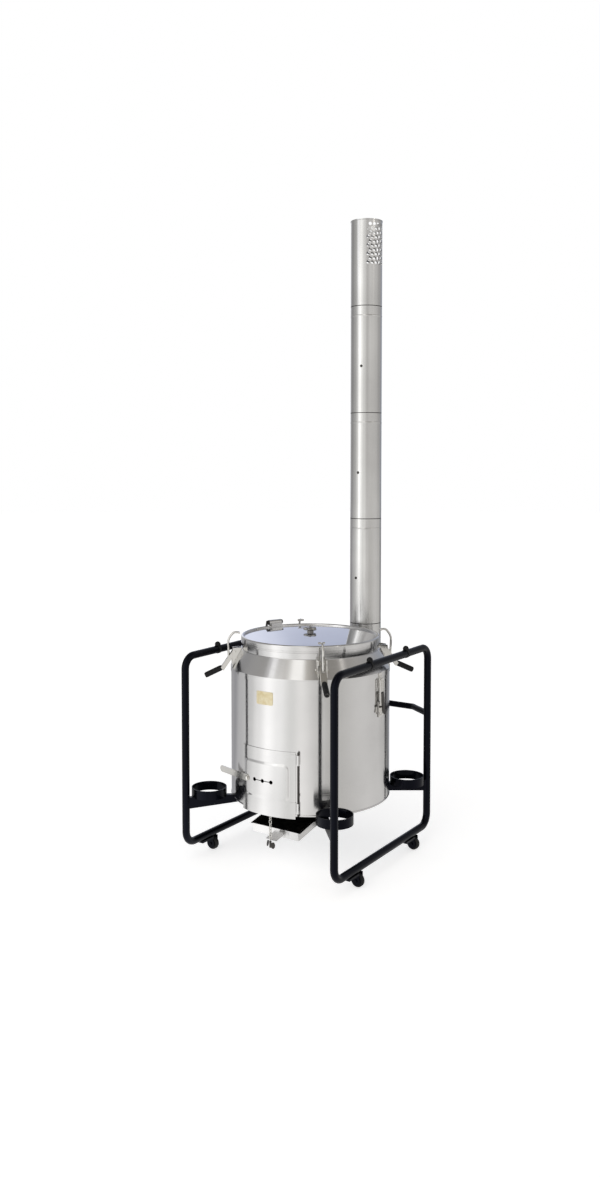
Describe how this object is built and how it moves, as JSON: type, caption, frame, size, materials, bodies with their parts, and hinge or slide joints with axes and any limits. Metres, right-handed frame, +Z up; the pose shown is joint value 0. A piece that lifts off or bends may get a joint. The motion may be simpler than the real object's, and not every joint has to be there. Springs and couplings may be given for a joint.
{
  "type": "portable wood-fired field kettle with chimney",
  "caption": "Wood-fired stainless field kettle with latched lid, fire door and tall sectional chimney, carried in a black tubular frame on small castors.",
  "frame": {"origin": "on the floor under the kettle's vertical axis", "axes": "+Z up, -Y the way the fire door faces, +X to the right of someone facing the door from inside, that is to the viewer's right"},
  "size_m": [0.742, 0.8772, 2.62],
  "materials": {
    "satin_steel": "satin brushed stainless sheet",
    "pipe_steel": "satin stainless pipe",
    "bright_steel": "bright pressed stainless",
    "mirror_steel": "mirror polished",
    "dark_steel": "dark heat-tinted steel",
    "black_enamel": "gloss black",
    "black_rubber": "matt",
    "pale_brass": "pale matt brass",
    "cast_grate": "sooty cast iron"
  },
  "bodies": {
    "frame": {"frame_loop_left": "black_enamel", "frame_loop_right": "black_enamel", "rear_bow": "black_enamel", "castor_brackets": "black_enamel", "rail_buffers": "black_rubber", "pipe_holder_front_left": "black_enamel", "pipe_holder_front_right": "black_enamel", "pipe_holder_rear_left": "black_enamel", "pipe_holder_rear_right": "black_enamel", "outer_jacket": "satin_steel", "base_plate": "satin_steel", "shoulder_cone": "satin_steel", "neck_ring": "satin_steel", "inner_pot": "satin_steel", "fire_grate": "cast_grate", "name_plate": "pale_brass", "side_clasp": "bright_steel", "latch_brackets": "bright_steel", "hinge_bracket": "dark_steel", "flue_elbow": "pipe_steel", "chimney_section_1": "pipe_steel", "chimney_section_2": "pipe_steel", "chimney_section_3": "pipe_steel", "chimney_top": "pipe_steel", "door_hinge_rod": "satin_steel", "clip_chain": "bright_steel"},
    "lid": {"lid_dome": "mirror_steel", "lid_rim": "satin_steel", "steam_valve": "bright_steel"},
    "door": {"fire_door": "satin_steel"},
    "door_latch": {"door_latch_bar": "bright_steel"},
    "pan": {"ash_pan": "satin_steel"},
    "latch_front_left": {"latch_lever_front_left": "bright_steel"},
    "hook_front_left": {"latch_hook_front_left": "bright_steel"},
    "latch_front_right": {"latch_lever_front_right": "bright_steel"},
    "hook_front_right": {"latch_hook_front_right": "bright_steel"},
    "latch_rear_left": {"latch_lever_rear_left": "bright_steel"},
    "hook_rear_left": {"latch_hook_rear_left": "bright_steel"},
    "latch_rear_right": {"latch_lever_rear_right": "bright_steel"},
    "hook_rear_right": {"latch_hook_rear_right": "bright_steel"},
    "wheel_front_left": {"castor_wheel_front_left": "black_rubber"},
    "wheel_rear_left": {"castor_wheel_rear_left": "black_rubber"},
    "wheel_front_right": {"castor_wheel_front_right": "black_rubber"},
    "wheel_rear_right": {"castor_wheel_rear_right": "black_rubber"}
  },
  "joints": [
    {"name": "lid_hinge", "type": "hinge", "parent": "frame", "child": "lid", "pos_m": [-0.25684, 0.11275, 0.9024], "axis": [-0.4019, -0.9157, 0], "range_deg": [0, 95]},
    {"name": "fire_door_hinge", "type": "hinge", "parent": "frame", "child": "door", "pos_m": [0.13989, -0.29999, 0.36], "axis": [0, 0, 1], "range_deg": [0, 120]},
    {"name": "door_latch_turn", "type": "hinge", "parent": "door", "child": "door_latch", "pos_m": [-0.08814, -0.31781, 0.364], "axis": [0.2672, 0.9636, 0], "range_deg": [0, 75]},
    {"name": "ash_pan_slide", "type": "slide", "parent": "frame", "child": "pan", "axis": [0, -0.9833, -0.1822], "range_m": [0, 0.2], "deforming": ["clip_chain"]},
    {"name": "latch_front_left", "type": "hinge", "parent": "frame", "child": "latch_front_left", "pos_m": [-0.23139, -0.20328, 0.829], "axis": [-0.66, 0.7513, 0], "range_deg": [-7, 22]},
    {"name": "hook_front_left", "type": "hinge", "parent": "latch_front_left", "child": "hook_front_left", "pos_m": [-0.24974, -0.2194, 0.79989], "axis": [-0.66, 0.7513, 0], "range_deg": [-33, 10.5]},
    {"name": "latch_front_right", "type": "hinge", "parent": "frame", "child": "latch_front_right", "pos_m": [0.20328, -0.23139, 0.829], "axis": [-0.7513, -0.66, 0], "range_deg": [-7, 22]},
    {"name": "hook_front_right", "type": "hinge", "parent": "latch_front_right", "child": "hook_front_right", "pos_m": [0.2194, -0.24974, 0.79989], "axis": [-0.7513, -0.66, 0], "range_deg": [-33, 10.5]},
    {"name": "latch_rear_left", "type": "hinge", "parent": "frame", "child": "latch_rear_left", "pos_m": [-0.20328, 0.23139, 0.829], "axis": [0.7513, 0.66, 0], "range_deg": [-7, 22]},
    {"name": "hook_rear_left", "type": "hinge", "parent": "latch_rear_left", "child": "hook_rear_left", "pos_m": [-0.2194, 0.24974, 0.79989], "axis": [0.7513, 0.66, 0], "range_deg": [-33, 10.5]},
    {"name": "latch_rear_right", "type": "hinge", "parent": "frame", "child": "latch_rear_right", "pos_m": [0.23139, 0.20328, 0.829], "axis": [0.66, -0.7513, 0], "range_deg": [-7, 22]},
    {"name": "hook_rear_right", "type": "hinge", "parent": "latch_rear_right", "child": "hook_rear_right", "pos_m": [0.24974, 0.2194, 0.79989], "axis": [0.66, -0.7513, 0], "range_deg": [-33, 10.5]},
    {"name": "wheel_front_left", "type": "hinge", "parent": "frame", "child": "wheel_front_left", "pos_m": [-0.334, -0.221, 0.026], "axis": [0, 1, 0], "continuous": true},
    {"name": "wheel_rear_left", "type": "hinge", "parent": "frame", "child": "wheel_rear_left", "pos_m": [-0.334, 0.229, 0.026], "axis": [0, 1, 0], "continuous": true},
    {"name": "wheel_front_right", "type": "hinge", "parent": "frame", "child": "wheel_front_right", "pos_m": [0.356, -0.221, 0.026], "axis": [0, 1, 0], "continuous": true},
    {"name": "wheel_rear_right", "type": "hinge", "parent": "frame", "child": "wheel_rear_right", "pos_m": [0.356, 0.229, 0.026], "axis": [0, 1, 0], "continuous": true}
  ],
  "couplings": [
    {"joint": "hook_front_left", "follows": "latch_front_left", "ratio": -1.5},
    {"joint": "hook_front_right", "follows": "latch_front_right", "ratio": -1.5},
    {"joint": "hook_rear_left", "follows": "latch_rear_left", "ratio": -1.5},
    {"joint": "hook_rear_right", "follows": "latch_rear_right", "ratio": -1.5}
  ]
}
